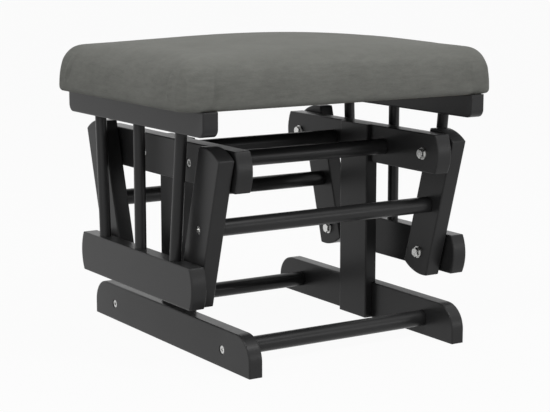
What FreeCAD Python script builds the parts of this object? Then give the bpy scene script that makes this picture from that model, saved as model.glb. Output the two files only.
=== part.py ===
import FreeCAD, Part
import math
import os

import Sketcher
from FreeCAD import Vector

# Glider ottoman. X runs along the cross bars, Y is the way it glides (the front is -Y), Z is up.
# The origin is on the floor under the middle of the seat. All sizes are in millimetres, angles in
# degrees. The frame is alike left and right, so the right pieces are modelled and the left ones
# are their mirror images. Rear pieces mirror front ones too, but the rear links sit higher on
# their pivots, and the posts, base bars and spindles aren't quite alike front and rear.

SIZES = [
    # base: two runners on the floor, two posts, two fixed rails on top of the posts
    ("runner_length", 476.0), ("runner_height", 56.5), ("runner_thickness", 21.5),
    ("runner_spacing", 333.0), ("runner_nose_radius", 36.0),
    ("post_width", 72.0), ("post_setback", 2.8), ("post_thickness", 20.5),
    ("post_tongue", 12.5),
    ("fixed_rail_height", 58.8), ("fixed_rail_thickness", 25.5), ("fixed_rail_length", 409.0),
    ("fixed_rail_bottom", 251.7), ("rail_housing", 6.3), ("board_end_rise", 7.5),
    # linkage
    ("upper_pivot_spread", 336.0), ("lower_pivot_spread", 245.0), ("link_length", 167.5),
    ("link_width", 57.5), ("link_thickness", 25.0), ("link_end", 27.5), ("link_end_rise", 6.0),
    ("rear_link_lift", 7.0), ("front_link_bar_drop", 86.7), ("rear_link_bar_drop", 82.5),
    ("fixed_rail_gap", 3.5), ("lower_rail_gap", 3.8), ("pivot_below_middle", 1.1),
    # platform: two lower rails, six spindles, two cushion rails
    ("lower_rail_height", 59.8), ("lower_rail_thickness", 24.0), ("lower_rail_length", 349.5),
    ("cushion_rail_length", 419.0), ("cushion_rail_height", 34.7), ("cushion_rail_bottom", 333.3),
    ("cushion_rail_corner", 12.0), ("cushion_rail_thickness", 24.0),
    ("spindle_diameter", 17.2), ("spindle_socket", 14.0),
    ("front_spindle_low", 106.5), ("front_spindle_high", 128.0),
    ("rear_spindle_low", 114.0), ("rear_spindle_high", 123.0), ("middle_spindle_forward", 2.0),
    # cross bars and their bolts
    ("bar_diameter", 24.4), ("bar_chamfer", 0.8), ("front_base_bar_reach", 163.2),
    ("rear_base_bar_reach", 171.2), ("base_bar_height", 25.6), ("upper_bar_spread", 137.0),
    ("bar_bolt_diameter", 6.0), ("bar_bolt_length", 32.0), ("bar_bolt_head", 12.4),
    ("bar_bolt_head_height", 4.6), ("bar_bolt_recess", 0.8), ("bar_bolt_socket", 5.0),
    ("bar_bolt_socket_depth", 2.6), ("bar_insert_diameter", 10.0), ("bar_insert_length", 12.0),
    ("bolt_tip_room", 1.5),
    # pivots
    ("pivot_bolt_diameter", 8.0), ("pivot_head_flats", 13.0), ("pivot_head_height", 5.3),
    ("pivot_head_crown", 0.9), ("washer_diameter", 18.0), ("washer_thickness", 1.6),
    ("hub_diameter", 12.0), ("hub_length", 15.0), ("hub_flange_diameter", 22.0),
    ("bush_diameter", 16.0), ("upper_bush_length", 17.0), ("pivot_insert_diameter", 12.0),
    ("pivot_insert_length", 14.0), ("spacer_diameter", 22.0),
    ("open_bush_diameter", 18.4), ("open_bush_bore", 16.0), ("open_sleeve_diameter", 10.0),
    # seat
    ("seat_board_length", 516.0), ("seat_board_depth", 404.0), ("seat_board_thickness", 12.0),
    ("seat_board_corner", 24.0), ("seat_screw_spread", 130.0), ("seat_screw_diameter", 4.0),
    ("seat_screw_head", 8.4), ("seat_screw_head_height", 3.0), ("seat_screw_recess", 9.0),
    ("seat_screw_bite", 9.5), ("dust_cover_thickness", 0.8), ("dust_cover_inset", 4.0),
    ("cushion_length", 532.0), ("cushion_depth", 418.0), ("cushion_top", 454.5),
    ("cushion_crown_long", 1760.0), ("cushion_crown_short", 830.0), ("cushion_shoulder", 48.0),
    ("cushion_foot", 6.0), ("cushion_corner", 22.0), ("cushion_side_draw", 1.5),
    # dowels that hold the posts
    ("dowel_diameter", 8.0), ("dowel_length", 20.0), ("dowel_spread", 32.0),
    ("dowel_in_post", 8.5),
    # clearances and edge rounding
    ("bolt_clearance", 0.05), ("running_clearance", 0.05), ("side_clearance", 0.2),
    ("soft_clearance", 0.3), ("hole_end_room", 0.3),
    ("edge_radius", 1.6), ("small_edge", 0.5),
]

# places worked out from the driving sizes, as cells of the same sheet
WORKED_OUT = [
    ("runner_inner", "=runner_spacing / 2"),
    ("runner_outer", "=runner_inner + runner_thickness"),
    ("post_inner", "=runner_inner - post_tongue"),
    ("post_outer", "=post_inner + post_thickness"),
    ("post_front", "=post_setback - post_width / 2"),
    ("post_rear", "=post_setback + post_width / 2"),
    ("rail_inner", "=runner_inner - rail_housing"),
    ("rail_outer", "=rail_inner + fixed_rail_thickness"),
    ("rail_top", "=fixed_rail_bottom + fixed_rail_height"),
    ("pivot_high", "=fixed_rail_bottom + fixed_rail_height / 2 - pivot_below_middle"),
    ("link_inner", "=rail_outer + fixed_rail_gap"),
    ("link_outer", "=link_inner + link_thickness"),
    ("link_step", "=(upper_pivot_spread - lower_pivot_spread) / 2"),
    ("link_drop", "=sqrt(link_length ^ 2 - link_step ^ 2)"),
    ("pivot_low", "=pivot_high - link_drop"),
    ("low_rail_inner", "=link_outer + lower_rail_gap"),
    ("low_rail_bottom", "=pivot_low - lower_rail_height / 2"),
    ("low_rail_top", "=low_rail_bottom + lower_rail_height"),
    ("spindle_plane", "=low_rail_inner + lower_rail_thickness / 2"),
    ("cushion_rail_inner", "=spindle_plane - cushion_rail_thickness / 2"),
    ("seat_level", "=cushion_rail_bottom + cushion_rail_height"),
    ("spindle_rise", "=cushion_rail_bottom - low_rail_top"),
    ("bolt_floor", "=bar_bolt_recess + bar_bolt_head_height"),
]

doc = FreeCAD.newDocument("GliderOttoman")
dims = doc.addObject("Spreadsheet::Sheet", "dims")
for line, (alias, value) in enumerate(SIZES + WORKED_OUT, start=1):
    dims.set("A%d" % line, alias)
    dims.set("B%d" % line, str(value))
    dims.setAlias("B%d" % line, alias)
doc.recompute()


ALIASES = [alias for alias, _ in SIZES + WORKED_OUT]
NEARLY_NOTHING = 0.01


def tie(text):
    """Write an expression over the sheet's names as one over the sheet's cells. The longest
    names go first, because some hold a shorter one."""
    for alias in sorted(ALIASES, key=len, reverse=True):
        text = text.replace(alias, "<" + str(ALIASES.index(alias)) + ">")
    for index, alias in enumerate(ALIASES):
        text = text.replace("<" + str(index) + ">", "dims." + alias)
    return text


def value_of(text):
    """The number that an expression over the sheet's names gives now."""
    return float(dims.evalExpression(tie(text).replace("dims.", "")))


def new_body(label):
    body = doc.addObject("PartDesign::Body", label)
    body.Label = label
    return body


def new_sketch(body, role, offset="0", name="outline"):
    """A sketch on one of the body's origin planes, moved along the plane's normal."""
    sketch = body.newObject("Sketcher::SketchObject", name)
    plane = [item for item in body.Origin.OriginFeatures if item.Role == role][0]
    sketch.AttachmentSupport = [(plane, "")]
    sketch.MapMode = "FlatFace"
    sketch.setExpression("AttachmentOffset.Base.z", tie(offset))
    return sketch


def fix_point(sketch, geometry, which, across, up):
    """Hold one point of a sketch at two expressions, measured from the sketch's origin."""
    for kind, axis, text in (("DistanceX", -2, across), ("DistanceY", -1, up)):
        if text == "0":
            sketch.addConstraint(Sketcher.Constraint("PointOnObject", geometry, which, axis))
            continue
        index = sketch.addConstraint(
            Sketcher.Constraint(kind, -1, 1, geometry, which, value_of(text)))
        sketch.setExpression("Constraints[%d]" % index, tie(text))


def draw_outline(sketch, corners):
    """Draw a closed outline, counterclockwise. Each corner is (across, up) in expressions, with
    one more entry where the stretch to the next corner is an arc: the radius of an arc that
    bulges outwards, or the (across, up) of a point that the arc passes through."""
    spots = [Vector(value_of(corner[0]), value_of(corner[1]), 0) for corner in corners]
    for index, corner in enumerate(corners):
        start, end = spots[index], spots[(index + 1) % len(spots)]
        if len(corner) == 2:
            sketch.addGeometry(Part.LineSegment(start, end), False)
            continue
        if isinstance(corner[2], tuple):
            middle = Vector(value_of(corner[2][0]), value_of(corner[2][1]), 0)
        else:
            radius, chord = value_of(corner[2]), end - start
            depth = radius - math.sqrt(max(radius ** 2 - chord.Length ** 2 / 4, 0.0))
            middle = (start + end) * 0.5 + Vector(chord.y, -chord.x, 0).normalize() * depth
        if (middle - start).cross(end - middle).z < 0:
            start, end = end, start
        sketch.addGeometry(Part.Arc(start, middle, end), False)
    for index in range(len(corners)):
        following = (index + 1) % len(corners)
        here = end_of(sketch, index, spots[following])
        there = end_of(sketch, following, spots[following])
        sketch.addConstraint(Sketcher.Constraint("Coincident", index, here, following, there))
    for index, corner in enumerate(corners):
        fix_point(sketch, index, end_of(sketch, index, spots[index]), corner[0], corner[1])
        if len(corner) == 2:
            continue
        if isinstance(corner[2], tuple):
            middle = Vector(value_of(corner[2][0]), value_of(corner[2][1]), 0)
            through = sketch.addGeometry(Part.Point(middle), True)
            fix_point(sketch, through, 1, corner[2][0], corner[2][1])
            sketch.addConstraint(Sketcher.Constraint("PointOnObject", through, 1, index))
        else:
            number = sketch.addConstraint(
                Sketcher.Constraint("Radius", index, value_of(corner[2])))
            sketch.setExpression("Constraints[%d]" % number, tie(corner[2]))


def end_of(sketch, index, spot):
    """Which end of a sketch's line or arc lies at the spot: 1 for its start, 2 for its end."""
    edge = sketch.Geometry[index]
    return 1 if (edge.StartPoint - spot).Length < (edge.EndPoint - spot).Length else 2


def draw_circle(sketch, across, up, diameter):
    centre = Vector(value_of(across), value_of(up), 0)
    index = sketch.addGeometry(
        Part.Circle(centre, Vector(0, 0, 1), value_of(diameter) / 2), False)
    fix_point(sketch, index, 3, across, up)
    number = sketch.addConstraint(Sketcher.Constraint("Diameter", index, value_of(diameter)))
    sketch.setExpression("Constraints[%d]" % number, tie(diameter))


def pad(body, sketch, length, midplane=False):
    feature = body.newObject("PartDesign::Pad", "pad")
    feature.Profile = sketch
    feature.SideType = "Symmetric" if midplane else "One side"
    feature.setExpression("Length", tie(length))
    return feature


def pocket(body, sketch, depth, forward=False, midplane=False):
    """Cut against the sketch's normal, or along it where forward is true."""
    feature = body.newObject("PartDesign::Pocket", "pocket")
    feature.Profile = sketch
    feature.SideType = "Symmetric" if midplane else "One side"
    feature.Reversed = forward
    feature.setExpression("Length", tie(depth))
    return feature


def bore(body, offset, spots, diameter, depth, forward=False):
    """Round holes along X from the plane at an offset, one at each (y, z) spot."""
    sketch = new_sketch(body, "YZ_Plane", offset, "holes")
    for across, up in spots:
        draw_circle(sketch, across, up, diameter)
    return pocket(body, sketch, depth, forward)


def revolve(body, sketch, axis="H_Axis"):
    feature = body.newObject("PartDesign::Revolution", "turned")
    feature.Profile = sketch
    feature.ReferenceAxis = (sketch, [axis])
    feature.Angle = 360.0
    return feature


def round_edges(body, radius, wanted):
    """Round the edges of the body's last feature for which wanted(edge) is true."""
    doc.recompute()
    base = body.Tip
    names = ["Edge%d" % (number + 1) for number, edge in enumerate(base.Shape.Edges)
             if wanted(edge)]
    feature = body.newObject("PartDesign::Fillet", "rounded_edges")
    feature.Base = (base, names)
    feature.setExpression("Radius", tie(radius))
    return feature


def every_edge(edge):
    return True


def place(item, text):
    item.setExpression("Placement", tie(text))


def mirror(label, source, normal):
    image = doc.addObject("Part::Mirroring", label)
    image.Label = label
    image.Source = source
    image.Base = Vector(0, 0, 0)
    image.Normal = normal
    return image


LEFT_RIGHT = Vector(1, 0, 0)
FRONT_REAR = Vector(0, 1, 0)


def group(label, pieces):
    gathered = doc.addObject("Part::Compound", label)
    gathered.Label = label
    gathered.Links = pieces
    return gathered


def both_sides(label, piece):
    """A node with the piece and its left to right mirror image."""
    return group(label, [piece, mirror(label + "_left", piece, LEFT_RIGHT)])


def four_corners(label, piece):
    """A node with the piece at the front and rear of both sides."""
    rear = mirror(label + "_rear", piece, FRONT_REAR)
    left = [mirror(label + "_left", piece, LEFT_RIGHT),
            mirror(label + "_rear_left", rear, LEFT_RIGHT)]
    return group(label, [piece, rear] + left)


# boards

def arched_board(label, inner, thickness, length, bottom, height, rise):
    """A board on edge along Y whose two ends are shallow arches."""
    body = new_body(label)
    sketch = new_sketch(body, "YZ_Plane", inner)
    corner, crest = "%s / 2 - %s" % (length, rise), "%s / 2" % length
    top, middle = "%s + %s" % (bottom, height), "%s + %s / 2" % (bottom, height)
    draw_outline(sketch, [
        ("-(%s)" % corner, bottom), (corner, bottom, (crest, middle)),
        (corner, top), ("-(%s)" % corner, top, ("-" + crest, middle))])
    pad(body, sketch, thickness)
    round_edges(body, "edge_radius", every_edge)
    return body


def bolt_seats(body, outer, spots, through):
    """Counterbores in the outer face for the bar bolts, with their holes through the board."""
    bore(body, outer, spots, "bar_bolt_head + 2 * soft_clearance", "bolt_floor")
    bore(body, outer, spots, "bar_bolt_diameter + 2 * bolt_clearance", through)


def make_runner():
    body = new_body("right_runner")
    sketch = new_sketch(body, "YZ_Plane", "runner_inner")
    nose = "runner_nose_radius"
    flat = "runner_length / 2 - runner_nose_radius"
    draw_outline(sketch, [
        ("-runner_length / 2", "0"),
        ("runner_length / 2", "0"),
        ("runner_length / 2", "runner_height - runner_nose_radius", nose),
        (flat, "runner_height"),
        ("-(%s)" % flat, "runner_height", nose),
        ("-runner_length / 2", "runner_height - runner_nose_radius"),
    ])
    pad(body, sketch, "runner_thickness")
    round_edges(body, "edge_radius", lambda edge: edge.BoundBox.ZMax > NEARLY_NOTHING)
    bolt_seats(body, "runner_outer",
               [("-front_base_bar_reach", "base_bar_height"),
                ("rear_base_bar_reach", "base_bar_height")], "runner_thickness")
    bore(body, "runner_inner", dowel_spots("runner_height / 2"),
         "dowel_diameter", "dowel_length - dowel_in_post + hole_end_room", forward=True)
    return body


def dowel_spots(level):
    return [("-dowel_spread / 2", level), ("dowel_spread / 2", level)]


DOWEL_LEVELS = ["runner_height / 2", "fixed_rail_bottom + fixed_rail_height / 2"]


def make_post():
    body = new_body("right_post")
    sketch = new_sketch(body, "YZ_Plane", "post_inner")
    draw_outline(sketch, [
        ("post_front", "0"), ("post_rear", "0"),
        ("post_rear", "rail_top"), ("post_front", "rail_top"),
    ])
    pad(body, sketch, "post_thickness")
    round_edges(body, "edge_radius",
                lambda edge: edge.BoundBox.ZLength > edge.BoundBox.DiagonalLength / 2)
    rebates = new_sketch(body, "YZ_Plane", "post_outer", "rebates")
    for low, high in (("0", "runner_height"), ("fixed_rail_bottom", "rail_top")):
        draw_rectangle(rebates, "post_front", "post_rear", low, high)
    pocket(body, rebates, "post_thickness - post_tongue")
    for level in DOWEL_LEVELS:
        bore(body, "runner_inner", dowel_spots(level), "dowel_diameter",
             "dowel_in_post + hole_end_room")
    return body


def draw_rectangle(sketch, start_across, end_across, low, high):
    """Add a rectangle between two places across the sketch and two heights."""
    start = len(sketch.Geometry)
    spots = [(start_across, low), (end_across, low), (end_across, high), (start_across, high)]
    corners = [Vector(value_of(across), value_of(up), 0) for across, up in spots]
    for index in range(4):
        sketch.addGeometry(Part.LineSegment(corners[index], corners[(index + 1) % 4]), False)
    for index in range(4):
        following = start + (index + 1) % 4
        sketch.addConstraint(
            Sketcher.Constraint("Coincident", start + index, 2, following, 1))
    for index, (across, up) in enumerate(spots):
        fix_point(sketch, start + index, 1, across, up)


def make_fixed_rail():
    body = arched_board("right_fixed_rail", "rail_inner", "fixed_rail_thickness",
                        "fixed_rail_length", "fixed_rail_bottom", "fixed_rail_height",
                        "board_end_rise")
    housing = new_sketch(body, "YZ_Plane", "rail_inner", "housing")
    draw_rectangle(housing, "post_front", "post_rear", "fixed_rail_bottom", "rail_top")
    pocket(body, housing, "rail_housing", forward=True)
    bolt_seats(body, "rail_outer",
               [("-upper_bar_spread / 2", "pivot_high"), ("upper_bar_spread / 2", "pivot_high")],
               "fixed_rail_thickness")
    bore(body, "rail_outer",
         [("-upper_pivot_spread / 2", "pivot_high"), ("upper_pivot_spread / 2", "pivot_high")],
         "pivot_bolt_diameter + 2 * bolt_clearance", "fixed_rail_thickness")
    bore(body, "runner_inner", dowel_spots(DOWEL_LEVELS[1]), "dowel_diameter",
         "dowel_length - dowel_in_post + hole_end_room", forward=True)
    return body


def make_dowels():
    """One right hand dowel at each joint of the post, copied to the other places."""
    pieces = []
    for number, level in enumerate(DOWEL_LEVELS):
        body = new_body("dowel_%d" % number)
        sketch = new_sketch(body, "YZ_Plane", "runner_inner - dowel_in_post")
        draw_circle(sketch, "-dowel_spread / 2", level, "dowel_diameter")
        pad(body, sketch, "dowel_length")
        pieces.append(four_corners("dowels_%d" % number, body))
    return group("post_dowels", pieces)


# links

def make_link(label, low_bore, lift, bar_drop):
    """A right link, drawn upright with its upper pivot at the origin of Y and Z, then leaned so
    that its foot points to the front lower pivot. The wood sits higher on its pivots by lift."""
    body = new_body(label)
    sketch = new_sketch(body, "YZ_Plane", "link_inner")
    half = "link_width / 2"
    foot, head = "-(link_length + link_end - %s)" % lift, "(link_end + %s)" % lift
    draw_outline(sketch, [
        ("-" + half, foot, ("0", foot + " - link_end_rise")), (half, foot),
        (half, head, ("0", head + " + link_end_rise")), ("-" + half, head)])
    pad(body, sketch, "link_thickness")
    round_edges(body, "edge_radius", every_edge)
    bolt_seats(body, "link_outer", [("0", "-" + bar_drop)], "link_thickness")
    bore(body, "link_inner", [("0", "0")], "bush_diameter",
         "upper_bush_length + hole_end_room", forward=True)
    bore(body, "link_inner", [("0", "-link_length")], low_bore, "link_thickness", forward=True)
    place(body, LINK_PLACE)
    return body


LINK_PLACE = ("placement(vector(0; -upper_pivot_spread / 2; pivot_high); "
              "rotationx(asin(link_step / link_length)))")


def turned(label, profile, place_text):
    """A piece turned about X: profile is (x, radius) pairs, each two expressions."""
    body = new_body(label)
    sketch = new_sketch(body, "XZ_Plane", name="profile")
    draw_outline(sketch, profile)
    revolve(body, sketch)
    place(body, place_text)
    return body


def ring(label, start, length, outer, inner, place_text):
    """A plain tube along X between two radii."""
    end = "%s + %s" % (start, length)
    return turned(label, [(start, "(%s) / 2" % inner), (end, "(%s) / 2" % inner),
                          (end, "(%s) / 2" % outer), (start, "(%s) / 2" % outer)], place_text)


def at(across, up):
    return "placement(vector(0; %s; %s); rotationx(0))" % (across, up)


FRONT_HIGH = at("-upper_pivot_spread / 2", "pivot_high")
FRONT_LOW = at("-lower_pivot_spread / 2", "pivot_low")


# cross bars

def make_bar(label, half_length, place_text):
    """A round bar between two inner faces, bored at both ends for an insert and a bolt."""
    radius, cut = "bar_diameter / 2", "bar_chamfer"
    insert = "bar_insert_diameter / 2"
    clear = "bar_bolt_diameter / 2 + bolt_clearance"
    deep = "%s - bar_bolt_length - bolt_tip_room + bolt_floor" % half_length
    seat = "%s - bar_insert_length" % half_length
    half = [(deep, "0"), (deep, clear), (seat, clear), (seat, insert), (half_length, insert),
            (half_length, "%s - %s" % (radius, cut)), ("%s - %s" % (half_length, cut), radius)]
    other = [("-(%s)" % across, up) for across, up in reversed(half)]
    return turned(label, half + other, place_text)


def bar_bolt(label, outer, place_text):
    """A round headed bolt with a hexagon socket, sunk just below a board's outer face."""
    face = "%s - bar_bolt_recess" % outer
    under = "%s - bolt_floor" % outer
    tip = "%s - bar_bolt_length" % under
    shank, head = "bar_bolt_diameter / 2", "bar_bolt_head / 2"
    body = turned(label, [
        (tip, "0"), (tip, "%s - small_edge" % shank), ("%s + small_edge" % tip, shank),
        (under, shank), (under, head), ("%s - small_edge" % face, head),
        (face, "%s - small_edge" % head), (face, "0")], place_text)
    sketch = new_sketch(body, "YZ_Plane", face, "socket")
    draw_hexagon(sketch, "bar_bolt_socket")
    pocket(body, sketch, "bar_bolt_socket_depth")
    return body


def draw_hexagon(sketch, flats):
    """A hexagon about the sketch's origin, measured across its flats, with a corner on top."""
    side, corner, half_corner = flats + " / 2", flats + " / sqrt(3)", flats + " / sqrt(3) / 2"
    draw_outline(sketch, [
        (side, half_corner), ("0", corner), ("-" + side, half_corner),
        ("-" + side, "-" + half_corner), ("0", "-" + corner), (side, "-" + half_corner)])


def bar_insert(label, inner, place_text):
    """The threaded insert in a bar's end, drawn as a plain tube."""
    return ring(label, "%s - bar_insert_length" % inner, "bar_insert_length",
                "bar_insert_diameter", "bar_bolt_diameter + 2 * bolt_clearance", place_text)


def on_link(drop):
    """A place on the front link's middle line, below its upper pivot."""
    return LINK_PLACE + " * placement(vector(0; 0; -%s); rotationx(0))" % drop


def make_bars():
    """The three pairs of cross bars with their bolts and inserts, as nodes. A rear bar is drawn
    in front, at its own distance, and mirrored."""
    pairs = [
        ("base_bar", "runner_inner", "runner_outer",
         at("-front_base_bar_reach", "base_bar_height"),
         at("-rear_base_bar_reach", "base_bar_height")),
        ("upper_bar", "rail_inner", "rail_outer",
         at("-upper_bar_spread / 2", "pivot_high"), at("-upper_bar_spread / 2", "pivot_high")),
        ("link_bar", "link_inner", "link_outer",
         on_link("front_link_bar_drop"), on_link("rear_link_bar_drop")),
    ]
    nodes = []
    for name, inner, outer, front_spot, rear_spot in pairs:
        rear_pattern = make_bar(name + "_pattern", inner, rear_spot)
        nodes += [make_bar("front_" + name, inner, front_spot),
                  mirror("rear_" + name, rear_pattern, FRONT_REAR)]
        for part, make_piece, face in (("bolts", bar_bolt, outer), ("inserts", bar_insert, inner)):
            label = "%s_%s" % (name, part)
            front = both_sides("front_" + label, make_piece(label + "_front", face, front_spot))
            pattern = both_sides(label + "_pattern", make_piece(label + "_rear", face, rear_spot))
            rear = mirror("rear_" + label, pattern, FRONT_REAR)
            nodes += [front, rear] if name == "link_bar" else [group(label, [front, rear])]
    return nodes


# pivots

def hex_bolt(label, seat, length, place_text):
    """A hexagon headed bolt whose head lies inboard of the seat plane and whose shank runs
    outboard of it."""
    body = new_body(label)
    sketch = new_sketch(body, "YZ_Plane", "%s - pivot_head_height" % seat, "head")
    draw_hexagon(sketch, "pivot_head_flats")
    pad(body, sketch, "pivot_head_height")
    crown = new_sketch(body, "XZ_Plane", name="crown")
    face = "%s - pivot_head_height" % seat
    past_corners = "pivot_head_flats / sqrt(3) + small_edge"
    draw_outline(crown, [
        (face, "pivot_head_flats / 2 - small_edge"),
        ("%s + pivot_head_crown" % face, past_corners), (face, past_corners)])
    groove = body.newObject("PartDesign::Groove", "head_chamfer")
    groove.Profile = crown
    groove.ReferenceAxis = (crown, ["H_Axis"])
    groove.Angle = 360.0
    shank = new_sketch(body, "YZ_Plane", seat, "shank")
    draw_circle(shank, "0", "0", "pivot_bolt_diameter")
    pad(body, shank, length)
    place(body, place_text)
    return body


def make_upper_pivots():
    """Each bolt goes through the fixed rail into a flanged hub, on which the link's bush turns."""
    bolt_bore = "pivot_bolt_diameter + 2 * bolt_clearance"
    bolt = hex_bolt("upper_pivot_bolt", "rail_inner - washer_thickness",
                    "washer_thickness + fixed_rail_thickness + fixed_rail_gap + hub_length "
                    "- bolt_tip_room", FRONT_HIGH)
    washer = ring("upper_pivot_washer", "rail_inner - washer_thickness", "washer_thickness",
                  "washer_diameter", bolt_bore, FRONT_HIGH)
    flange = "link_inner - side_clearance"
    tip = "link_inner + hub_length"
    hole = "(%s) / 2" % bolt_bore
    hub = turned("upper_pivot_hub", [
        ("rail_outer", hole), (tip, hole), (tip, "hub_diameter / 2"),
        (flange, "hub_diameter / 2"), (flange, "hub_flange_diameter / 2"),
        ("rail_outer", "hub_flange_diameter / 2")], FRONT_HIGH)
    bush = ring("upper_pivot_bush", "link_inner", "upper_bush_length", "bush_diameter",
                "hub_diameter + 2 * running_clearance", FRONT_HIGH)
    front_bushes = both_sides("front_upper_bushes", bush)
    return [four_corners("upper_pivot_bolts", bolt), four_corners("upper_pivot_washers", washer),
            four_corners("upper_pivot_hubs", hub), front_bushes,
            mirror("rear_upper_bushes", front_bushes, FRONT_REAR)]


def make_lower_pivots():
    """Each bolt goes through a sleeve in the link's bush into an insert in the lower rail. The
    front bushes run on their sleeves. The rear bushes have a wide bore, since the swing of the
    front and rear links is not quite equal."""
    bolt_bore = "pivot_bolt_diameter + 2 * bolt_clearance"
    head_seat = "link_inner - side_clearance"
    sleeve_length = "low_rail_inner - (%s)" % head_seat
    bolt = hex_bolt("lower_pivot_bolt", "%s - washer_thickness" % head_seat,
                    "washer_thickness + %s + pivot_insert_length" % sleeve_length, FRONT_LOW)
    washer = ring("lower_pivot_washer", "%s - washer_thickness" % head_seat,
                  "washer_thickness", "washer_diameter", bolt_bore, FRONT_LOW)
    insert = ring("lower_pivot_insert", "low_rail_inner", "pivot_insert_length",
                  "pivot_insert_diameter", bolt_bore, FRONT_LOW)
    nodes = [four_corners("lower_pivot_bolts", bolt), four_corners("lower_pivot_washers", washer),
             four_corners("lower_pivot_inserts", insert)]
    spacer_start = "link_outer + side_clearance"
    for row, sleeve_size, bush_size, bush_bore in (
            ("front", "hub_diameter", "bush_diameter", "hub_diameter + 2 * running_clearance"),
            ("rear", "open_sleeve_diameter", "open_bush_diameter", "open_bush_bore")):
        sleeve = ring(row + "_sleeve", head_seat, sleeve_length, sleeve_size, bolt_bore,
                      FRONT_LOW)
        spacer = ring(row + "_spacer", spacer_start, "low_rail_inner - (%s)" % spacer_start,
                      "spacer_diameter", sleeve_size, FRONT_LOW)
        bush = ring(row + "_bush", "link_inner", "link_thickness", bush_size, bush_bore,
                    FRONT_LOW)
        for part, piece in (("sleeves", sleeve), ("spacers", spacer), ("bushes", bush)):
            label = "%s_lower_%s" % (row, part)
            if row == "rear":
                piece = mirror(row + "_" + part, piece, FRONT_REAR)
            nodes.append(both_sides(label, piece))
    return nodes


# platform

SPINDLES = {
    "front": {"low": "-front_spindle_low", "high": "-front_spindle_high"},
    "middle": {"low": "-middle_spindle_forward", "high": "-middle_spindle_forward"},
    "rear": {"low": "rear_spindle_low", "high": "rear_spindle_high"},
}


def spindle_run(row):
    """How far back a spindle's lower socket lies from its upper one."""
    return "(%s - (%s))" % (SPINDLES[row]["low"], SPINDLES[row]["high"])


def splay(row):
    return "atan(%s / spindle_rise)" % spindle_run(row)


def spindle_hole(body, level, along, turn):
    """A round socket about a spindle's line, sunk to both sides of a board's face."""
    sketch = body.newObject("Sketcher::SketchObject", "socket")
    plane = [item for item in body.Origin.OriginFeatures if item.Role == "XY_Plane"][0]
    sketch.AttachmentSupport = [(plane, "")]
    sketch.MapMode = "FlatFace"
    sketch.setExpression("AttachmentOffset", tie(
        "placement(vector(spindle_plane; %s; %s); rotationx(%s))" % (along, level, turn)))
    draw_circle(sketch, "0", "0", "spindle_diameter + 2 * bolt_clearance")
    pocket(body, sketch, "2 * spindle_socket", midplane=True)


def spindle_sockets(body, level, end):
    """A rail's three sockets, at the low or the high end of the spindles."""
    for row in SPINDLES:
        spindle_hole(body, level, SPINDLES[row][end], splay(row))


def make_lower_rail():
    body = arched_board("right_lower_rail", "low_rail_inner", "lower_rail_thickness",
                        "lower_rail_length", "low_rail_bottom", "lower_rail_height",
                        "board_end_rise")
    spindle_sockets(body, "low_rail_top", "low")
    bore(body, "low_rail_inner",
         [("-lower_pivot_spread / 2", "pivot_low"), ("lower_pivot_spread / 2", "pivot_low")],
         "pivot_insert_diameter", "pivot_insert_length + hole_end_room", forward=True)
    return body


def make_spindle(label, place_text, length):
    body = new_body(label)
    sketch = new_sketch(body, "XY_Plane")
    draw_circle(sketch, "0", "0", "spindle_diameter")
    pad(body, sketch, length, midplane=True)
    round_edges(body, "small_edge", lambda edge: edge.BoundBox.ZLength < NEARLY_NOTHING)
    place(body, place_text)
    return body


def make_spindles():
    """Three spindles a side: an upright one in the middle and two that splay outwards."""
    nodes = []
    for row, ends in SPINDLES.items():
        middle = "(%s + (%s)) / 2" % (ends["low"], ends["high"])
        spindle = make_spindle(
            "right_%s_spindle" % row,
            "placement(vector(spindle_plane; %s; (low_rail_top + cushion_rail_bottom) / 2); "
            "rotationx(%s))" % (middle, splay(row)),
            "sqrt(spindle_rise ^ 2 + %s ^ 2) + 2 * (spindle_socket - hole_end_room)"
            % spindle_run(row))
        nodes += [spindle, mirror("left_%s_spindle" % row, spindle, LEFT_RIGHT)]
    return nodes


SCREW_SPOTS = [("spindle_plane", "-seat_screw_spread / 2"),
               ("spindle_plane", "seat_screw_spread / 2")]


def screw_holes(body, level, diameter, depth, spots, forward):
    sketch = new_sketch(body, "XY_Plane", level, "screw_holes")
    for across, along in spots:
        draw_circle(sketch, across, along, diameter)
    pocket(body, sketch, depth, forward)


def make_cushion_rail():
    body = new_body("right_cushion_rail")
    sketch = new_sketch(body, "YZ_Plane", "cushion_rail_inner")
    half, corner = "cushion_rail_length / 2", "cushion_rail_corner"
    bottom = "cushion_rail_bottom"
    draw_outline(sketch, [
        ("-(%s - %s)" % (half, corner), bottom), ("%s - %s" % (half, corner), bottom, corner),
        (half, "%s + %s" % (bottom, corner)), (half, "seat_level"),
        ("-" + half, "seat_level"), ("-" + half, "%s + %s" % (bottom, corner), corner)])
    pad(body, sketch, "cushion_rail_thickness")
    top = value_of("seat_level") - NEARLY_NOTHING
    round_edges(body, "edge_radius", lambda edge: edge.BoundBox.ZMin < top)
    spindle_sockets(body, bottom, "high")
    screw_holes(body, bottom, "seat_screw_head + 2 * soft_clearance", "seat_screw_recess",
                SCREW_SPOTS, True)
    screw_holes(body, bottom, "seat_screw_diameter + 2 * bolt_clearance",
                "cushion_rail_height", SCREW_SPOTS, True)
    return body


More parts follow.
